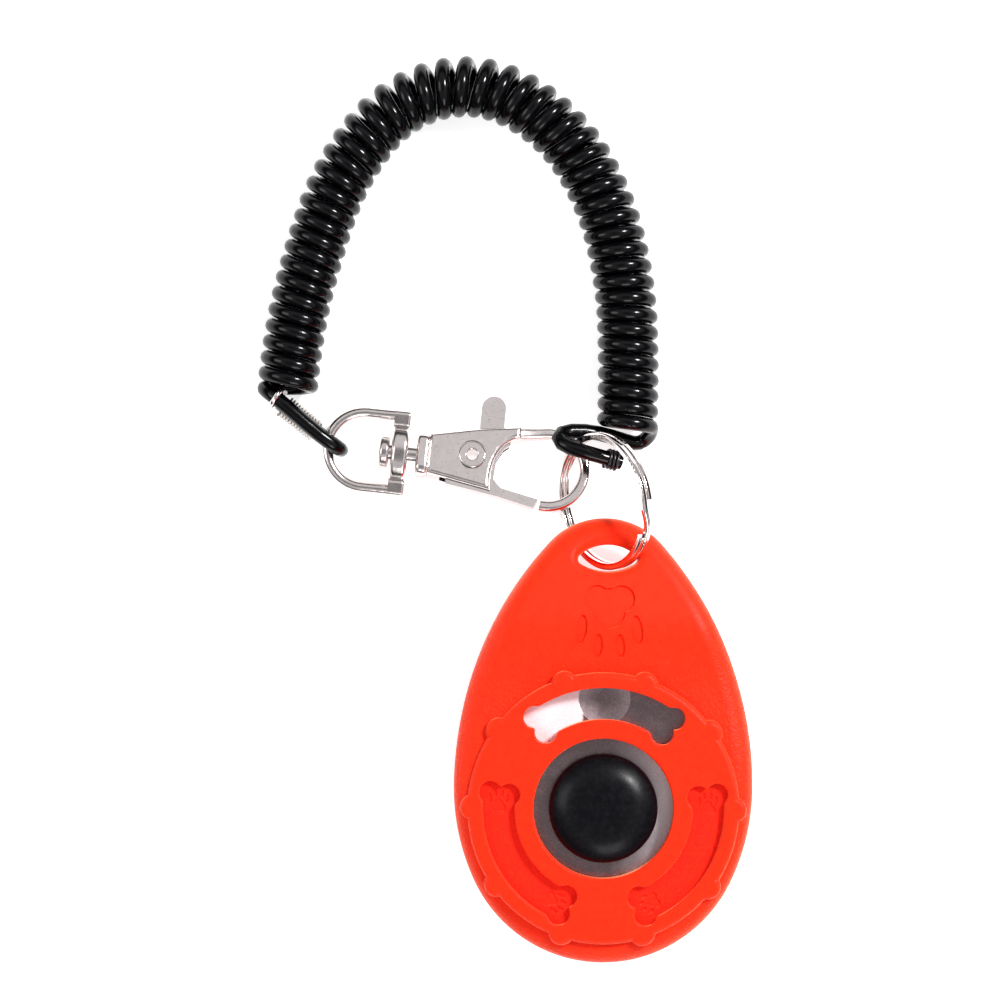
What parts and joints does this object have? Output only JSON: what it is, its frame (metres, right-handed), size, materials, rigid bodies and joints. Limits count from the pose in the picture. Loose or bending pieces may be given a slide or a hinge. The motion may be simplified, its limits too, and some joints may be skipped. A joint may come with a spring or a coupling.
{
  "type": "clicker trainer",
  "caption": "Egg-shaped plastic clicker with a domed button, a split key ring, a swivel trigger clasp and a curly wrist cord.",
  "frame": {"origin": "on the clicker's flat back, under the axis of its button", "axes": "+Z out of the button side, +Y to the tip that carries the ring, +X to the right as seen from the button side"},
  "size_m": [0.0723, 0.1308, 0.017],
  "materials": {
    "orange_plastic": "moulded, with a fine leather-like grain",
    "black_rubber": "smooth satin",
    "spring_steel": "rolled, satin",
    "zinc_steel": "zinc plated",
    "nickel_wire": "nickel plated, bright",
    "nickel_cast": "nickel plated die casting, slightly uneven",
    "black_cord": "glossy vinyl"
  },
  "bodies": {
    "clicker": {"upper_shell": "orange_plastic", "lower_shell": "orange_plastic", "click_plate": "spring_steel", "shell_screws": "zinc_steel"},
    "button": {"button_cap": "black_rubber", "button_retainer": "spring_steel"},
    "key_ring": {"split_ring": "nickel_wire"},
    "clasp": {"clasp_body": "nickel_cast", "gate_rivet": "nickel_wire", "gate_spring": "spring_steel", "cord_loop_ring_end": "black_cord", "wire_clip_ring_end": "zinc_steel"},
    "gate": {"gate_lever": "nickel_cast"},
    "strap": {"swivel_eye": "nickel_cast", "coil_cord": "black_cord", "cord_loop_clasp_end": "black_cord", "wire_clip_clasp_end": "zinc_steel"}
  },
  "joints": [
    {"name": "button_press", "type": "slide", "parent": "clicker", "child": "button", "axis": [0, 0, -1], "range_m": [0, 0.0012], "stiffness_N_per_m": 1300, "deforming": ["click_plate"]},
    {"name": "ring_turn", "type": "hinge", "parent": "clicker", "child": "key_ring", "pos_m": [0.00154, 0.03463, 0.0086], "axis": [0.5913, 0.1117, 0.7986], "range_deg": [0, 8]},
    {"name": "clasp_swing", "type": "hinge", "parent": "key_ring", "child": "clasp", "pos_m": [-0.00567, 0.04361, 0.00127], "axis": [0.2034, 0.8819, 0.4253], "range_deg": [0, 8], "deforming": ["cord_loop_ring_end"]},
    {"name": "gate_open", "type": "hinge", "parent": "clasp", "child": "gate", "pos_m": [-0.0195, 0.05005, 0.00303], "axis": [0.036, 0.2226, 0.9742], "range_deg": [0, 22], "stiffness_Nm_per_rad": 0.02, "deforming": ["gate_spring"]},
    {"name": "eye_swivel", "type": "hinge", "parent": "clasp", "child": "strap", "pos_m": [-0.0285, 0.0504, 0.00328], "axis": [0.9956, -0.0924, -0.0157], "range_deg": [0, 20], "deforming": ["coil_cord"]}
  ]
}
